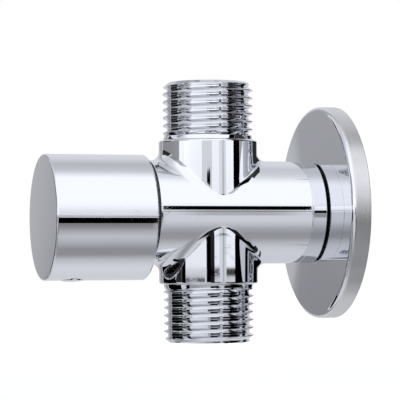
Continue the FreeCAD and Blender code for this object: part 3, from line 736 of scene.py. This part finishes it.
def woven_steel(name):
    """The strainer's mesh: wires cross at even steps along the axis and round it."""
    material, nodes, links, shader = new_material(name)
    place, wear, _ = use_groups(nodes, links, PLAIN_SMUDGES, PLAIN_LINES)
    parts = nodes.new("ShaderNodeSeparateXYZ")
    links.new(place, parts.inputs["Vector"])
    around = calculate(nodes, links, "ARCTAN2", parts.outputs["Z"], parts.outputs["Y"])
    waves = [calculate(nodes, links, "ABSOLUTE", calculate(
        nodes, links, "SINE", calculate(nodes, links, "MULTIPLY", value, count)))
        for value, count in ((parts.outputs["X"], WIRES_ALONG), (around, WIRES_ROUND))]
    wires = calculate(nodes, links, "MAXIMUM", *waves)
    colour = blend(nodes, links, step_between(nodes, links, wires, 0.75, 0.9),
                   (0.03, 0.03, 0.03), (0.62, 0.62, 0.60))
    links.new(colour, shader.inputs["Base Color"])
    shader.inputs["Metallic"].default_value = 1
    links.new(calculate(nodes, links, "ADD", 0.25, calculate(
        nodes, links, "MULTIPLY", wear["Grain"], 0.2)), shader.inputs["Roughness"])
    raise_by(nodes, links, shader, wires, 0.6, 0.0001)
    return material


# The spigot under the knob and the bores get a machined roughness and a colour of painted shade
BODY_CHROME = chrome("body_chrome", machined_shaded_under_knob, 0.45)
NIPPLE_CHROME = chrome("nipple_chrome")
PLATE_CHROME = chrome("plate_chrome", brushed_rim, 0.27)
# The knob's hollow inside and rear face get a dull roughness and a colour of painted shade
KNOB_CHROME = chrome("knob_chrome", dull_shaded_knob_inside, 0.5, KNOB_DROOP * MM)
RUBBER = plain("rubber", (0.012, 0.012, 0.012), (0.03, 0.03, 0.028), 0, 0.5, bump=0.3)
BRASS = plain("brass", (0.76, 0.56, 0.27), (0.52, 0.36, 0.17), 1, 0.26, marks_share=0.12)
CERAMIC = plain("ceramic", (0.86, 0.85, 0.81), (0.78, 0.76, 0.70), 0, 0.16, bump=0.05, coat=0.3)
STEEL = plain("zinc_plated_steel", (0.58, 0.58, 0.57), (0.42, 0.41, 0.38), 1, 0.34,
              marks_share=0.08)
PLASTIC = plain("white_plastic", (0.86, 0.86, 0.84), (0.76, 0.75, 0.71), 0, 0.42)
MESH = woven_steel("strainer_mesh")

pieces = (
    (valve_body(), "valve", "valve_body", "chrome_body", BODY_CHROME),
    (inlet_nipple(), "valve", "inlet_nipple", "chrome_nipple", NIPPLE_CHROME),
    (escutcheon(), "wall_plate", "escutcheon", "chrome_escutcheon", PLATE_CHROME),
    (knob_shell(), "handle", "knob", "chrome_knob", KNOB_CHROME),
    (screw_cap(), "handle", "knob_screw_cap", "chrome_knob", KNOB_CHROME),
    (ring_of_rubber("grip_ring", RUBBER_INNER_R, RUBBER_OUTER_R, COLLAR_X + GROOVE_WIDTH / 2),
     "valve", "escutcheon_o_ring", "black_rubber", RUBBER),
)
for piece, body, node, slot, material in pieces:
    piece.data.materials.append(material)
    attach(piece, body)
    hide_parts(node)

KEPT = {
    "inlet_strainer": MESH, "knob_grub_screw": STEEL, "headwork_housing": BRASS,
    "spindle": BRASS, "spindle_o_ring_outer": RUBBER, "spindle_o_ring_inner": RUBBER,
    "spindle_circlip": STEEL, "slip_washer": PLASTIC, "fixed_disc": CERAMIC,
    "turning_disc": CERAMIC, "seat_seal": RUBBER, "headwork_o_ring": RUBBER,
    "nipple_o_ring": RUBBER, "seal_backing_ring": PLASTIC,
}
for node, material in KEPT.items():
    for slot in frame["nodes"][node].material_slots:
        slot.material = material


# Camera


# The view that fits the photograph's outlines: degrees, millimetres, and a focal length and a
# picture's width in pixels
VIEW_YAW, VIEW_PITCH, VIEW_ROLL = -17.03, -1.648, -0.276
VIEW_DISTANCE = 470.0
VIEW_TARGET = (OUTLET_X - 1.956, 0, 2.846)
FOCAL_PIXELS = 2031.3
PICTURE_PIXELS = 400
SENSOR_WIDTH = 36


def place_camera():
    """The photograph's view: from the left and a little below, rolled by a quarter of a degree."""
    yaw, pitch, roll = (math.radians(turn) for turn in (VIEW_YAW, VIEW_PITCH, VIEW_ROLL))
    back = Vector((math.sin(yaw) * math.cos(pitch), -math.cos(yaw) * math.cos(pitch),
                   math.sin(pitch)))
    across = (-back).cross(Vector((0, 0, 1))).normalized()
    up = across.cross(-back)
    right = across * math.cos(roll) + up * math.sin(roll)
    up = -across * math.sin(roll) + up * math.cos(roll)
    data = bpy.data.cameras.new("camera")
    data.sensor_width = SENSOR_WIDTH
    data.lens = FOCAL_PIXELS * SENSOR_WIDTH / PICTURE_PIXELS
    data.clip_start = 0.01
    camera = bpy.data.objects.new("camera", data)
    bpy.context.scene.collection.objects.link(camera)
    turn_matrix = Matrix((right, up, back)).transposed().to_4x4()
    place = Vector(VIEW_TARGET) + back * VIEW_DISTANCE
    camera.matrix_world = Matrix.Translation(place * MM) @ turn_matrix
    bpy.context.scene.camera = camera


place_camera()


# Studio


def sky_angles(nodes, links):
    """Where a point of the tent stands, seen from the origin.

    Azimuth (0 straight in front, positive to the wall's side), elevation and the turn round the
    main axis from straight in front over the top to the back are in degrees. The reach along the
    main axis goes from -1 to 1.
    """
    place = nodes.new("ShaderNodeTexCoord")
    direction = nodes.new("ShaderNodeVectorMath")
    direction.operation = "NORMALIZE"
    links.new(place.outputs["Object"], direction.inputs[0])
    parts = nodes.new("ShaderNodeSeparateXYZ")
    links.new(direction.outputs["Vector"], parts.inputs["Vector"])
    reach, away, up = parts.outputs

    def degrees(operation, *values):
        return calculate(nodes, links, "DEGREES", calculate(nodes, links, operation, *values))

    front = calculate(nodes, links, "MULTIPLY", away, -1)
    azimuth, elevation = degrees("ARCTAN2", reach, front), degrees("ARCSINE", up)
    return azimuth, elevation, degrees("ARCTAN2", up, front), reach


# Brightness by the turn round the main axis, from behind under the object to behind over it:
# first where the tube looks, then where the knob does
SKY = (
    (-180, 0.64), (-165, 0.70), (-130, 0.72), (-110, 0.74), (-96, 0.72), (-84, 0.67), (-72, 0.55),
    (-60, 0.37), (-48, 0.36), (-36, 0.48), (-27, 0.64), (-19, 0.75), (-10, 0.76), (0, 0.77),
    (4, 0.84), (8, 0.93), (12, 1.03), (16, 1.15), (21, 1.21), (66, 1.21), (75, 1.05), (86, 0.83),
    (98, 0.73), (112, 0.70), (132, 0.82), (152, 0.79), (180, 0.66),
)
KNOB_SKY = (
    (-180, 0.64), (-165, 0.71), (-130, 0.75), (-110, 0.80), (-96, 0.74), (-84, 0.60), (-72, 0.33),
    (-60, 0.33), (-47, 0.52), (-36, 0.63), (-27, 0.50), (-19, 0.31), (-13, 0.23), (-9, 0.38),
    (0, 0.84), (4, 0.88), (8, 0.91), (12, 1.00), (16, 1.09), (21, 1.16), (27, 1.21), (75, 1.21),
    (82, 1.01), (90, 0.75), (98, 0.64), (112, 0.58), (132, 0.78), (152, 0.80), (180, 0.68),
)
KNOB_REACH = (0.15, 0.2437)
KNOB_REACH_SOFT = 0.0006
SKY_TINT = (0.485, 0.495, 0.52)
SKY_STRENGTH = 2.0
TENT_R = 1500
TENT_COLUMNS, TENT_ROWS = 96, 49

# Bands that tube, knob, collar and rim show: from, to of the reach along the main axis, from, to
# of the turn round it, the softness of both, and the share of the light that they leave
BANDS = (
    (0.15, 0.2434, -11.8, -1.6, 0.0005, 0.6, 0.0),  # the dark line on the knob
    (0.2436, 0.3405, 4.3, 12.6, 0.0005, 0.5, 0.0),  # the dark line on the tube
    (0.262, 0.325, -8.0, 4.3, 0.03, 3.0, 0.66),  # the grey below it
    (-0.352, -0.225, -2.6, 2.95, 0.002, 0.25, 0.0),  # the dark line on the collar
    (-0.352, -0.225, -12.0, -2.6, 0.002, 4.0, 0.5),  # the grey below it
    (0.356, 0.43, -22.0, -2.4, 0.004, 1.0, 0.0),  # the dark middle of the brushed rim
)
# Panels: azimuth from, to, elevation from, to, the softness of both, and the share of the light
# that they leave
PANELS = (
    # left side of the lower neck and thread
    (-147.0, -98.0, -38.0, 1.4, 1.5, 0.15, 0.0),
    (-98.0, -82.0, -4.4, 1.4, 1.5, 0.15, 0.04),
    (-82.0, -72.0, -55.0, 1.4, 1.5, 0.15, 0.0),
    # the upright dark bar beside the lower neck's window, and the dark arch above it
    (-22.5, -4.1, -1.6, 1.7, 0.4, 0.15, 0.02),
    (-13.0, 9.4, -32.0, -1.45, 0.4, 0.4, 0.02),
    (23.6, 70.0, -15.0, -1.45, 0.4, 0.4, 0.02),
    (25.5, 70.0, -32.0, -14.0, 0.5, 0.4, 0.02),
    # the dark lines that end the window and the field beside it
    (-22.5, 7.5, -1.06, -0.77, 0.3, 0.05, 0.0),
    (24.0, 60.0, -1.06, -0.77, 0.3, 0.05, 0.0),
    (-75.0, -26.0, -1.28, -1.10, 0.3, 0.05, 0.0),
    (-4.1, 52.0, 0.46, 1.4, 0.5, 0.06, 0.0),
    # right side of the lower neck and thread
    (46.5, 71.0, -50.0, 1.4, 0.6, 0.15, 0.0),
    (70.0, 118.0, -4.2, -1.45, 1.0, 0.2, 0.06),
    # right side of the upper neck: dark bar, grey field, dark edge
    (43.5, 61.0, 1.4, 4.25, 0.6, 0.15, 0.0),
    (43.5, 61.0, 9.0, 52.0, 0.6, 2.0, 0.0),
    (61.0, 95.0, 1.4, 4.3, 3.0, 0.3, 0.42),
    (95.0, 112.0, -14.0, 14.0, 0.8, 3.0, 0.03),
    # grey fields in the middle and at the left of the upper neck
    (-32.0, -9.0, 1.7, 4.2, 0.6, 0.3, 0.72),
    (-147.0, -87.0, 1.4, 4.3, 0.8, 0.2, 0.45),
    # right and left sides of both threads
    (25.5, 43.0, 4.3, 26.0, 1.0, 0.5, 0.5),
    (40.0, 108.0, 4.3, 9.0, 3.0, 0.5, 0.04),
    (61.0, 110.0, 9.0, 68.0, 3.0, 0.5, 0.04),
    (61.0, 84.0, -68.0, -4.0, 2.0, 2.0, 0.04),
    (97.0, 110.0, -68.0, -4.0, 2.0, 2.0, 0.04),
    (-147.0, -112.0, 4.3, 26.0, 4.0, 0.5, 0.04),
    (-108.0, -66.0, 4.3, 26.0, 4.0, 0.5, 0.42),
    # the faces of the knob and of the escutcheon
    (-178.0, -150.5, -75.0, 75.0, 1.5, 1.0, 0.82),
    (-164.8, -150.5, -75.0, 75.0, 3.0, 1.0, 0.71),
    (-165.0, -150.5, -70.0, -2.0, 1.0, 12.0, 0.74),
    # brighter fields on both necks
    (-75.0, 7.5, -0.77, 12.0, 0.6, 0.1, 1.32),
    (24.0, 47.0, -0.77, 12.0, 0.6, 0.1, 1.36),
)


def tent():
    """A round tent of soft light with dark panels: the chrome shows it, the camera doesn't."""
    half_circle = np.linspace(0, math.pi, TENT_ROWS)
    profile = np.stack([-np.cos(half_circle), np.sin(half_circle)], axis=-1) * TENT_R
    obj = weld_grids("tent", [turned_grid(profile, TENT_COLUMNS, "z")])
    obj.data.flip_normals()
    material, nodes, links, shader = new_material("tent_light")
    azimuth, elevation, over, reach = sky_angles(nodes, links)
    spread = nodes.new("ShaderNodeMapRange")
    set_inputs(spread, links, Value=over, From_Min=-180, From_Max=180)

    def ramp(stops):
        sky = nodes.new("ShaderNodeValToRGB")
        band = sky.color_ramp
        while len(band.elements) < len(stops):
            band.elements.new(1.0)
        for element, (degrees, brightness) in zip(band.elements, stops):
            element.position = (degrees + 180) / 360
            element.color = (*(brightness * share for share in SKY_TINT), 1)
        links.new(spread.outputs["Result"], sky.inputs["Fac"])
        return sky.outputs["Color"]

    def times(one, other):
        return calculate(nodes, links, "MULTIPLY", one, other)

    def between(value, low, high, soft):
        """1 from low to high and 0 outside, with soft borders."""
        return times(step_between(nodes, links, value, low - soft / 2, low + soft / 2),
                     step_between(nodes, links, value, high + soft / 2, high - soft / 2))

    light = SKY_STRENGTH
    for across, along, spans in ((azimuth, elevation, PANELS), (reach, over, BANDS)):
        for side_from, side_to, low, high, side_soft, soft, rest in spans:
            cover = times(between(across, side_from, side_to, side_soft),
                          between(along, low, high, soft))
            left = calculate(nodes, links, "SUBTRACT", 1.0, times(cover, 1 - rest))
            light = times(light, left)
    on_knob = between(reach, *KNOB_REACH, KNOB_REACH_SOFT)
    colour = blend(nodes, links, on_knob, ramp(SKY), ramp(KNOB_SKY))
    shader.inputs["Base Color"].default_value = (0, 0, 0, 1)
    shader.inputs["Specular IOR Level"].default_value = 0
    links.new(colour, shader.inputs["Emission Color"])
    links.new(light, shader.inputs["Emission Strength"])
    obj.data.materials.append(material)
    obj.visible_camera = False


def world():
    """Plain white round the scene."""
    scene_world = bpy.data.worlds.new("studio")
    bpy.context.scene.world = scene_world
    scene_world.use_nodes = True
    background = scene_world.node_tree.nodes["Background"]
    background.inputs["Color"].default_value = (1, 1, 1, 1)


# The floor in metres, and the share of white that it shows the camera by itself
FLOOR_HALF = 6.0
FLOOR_Z = -0.12
FLOOR_GLOW = 0.4


def floor():
    """A pale floor below the object; a part of its white is its own so that it meets the sky."""
    mesh = bpy.data.meshes.new("floor")
    half = FLOOR_HALF
    corners = ((-half, -half), (half, -half), (half, half), (-half, half))
    mesh.from_pydata([(x, y, FLOOR_Z) for x, y in corners], [], [(0, 1, 2, 3)])
    obj = bpy.data.objects.new("floor", mesh)
    bpy.context.scene.collection.objects.link(obj)
    material, nodes, links, shader = new_material("floor_white")
    shader.inputs["Base Color"].default_value = (0.9, 0.9, 0.9, 1)
    shader.inputs["Roughness"].default_value = 0.9
    shader.inputs["Specular IOR Level"].default_value = 0
    path = nodes.new("ShaderNodeLightPath")
    glow = calculate(nodes, links, "MULTIPLY", path.outputs["Is Camera Ray"], FLOOR_GLOW)
    shader.inputs["Emission Color"].default_value = (1, 1, 1, 1)
    links.new(glow, shader.inputs["Emission Strength"])
    mesh.materials.append(material)
    obj.visible_glossy = False


world()
tent()
floor()

bpy.context.scene.view_settings.view_transform = "Standard"
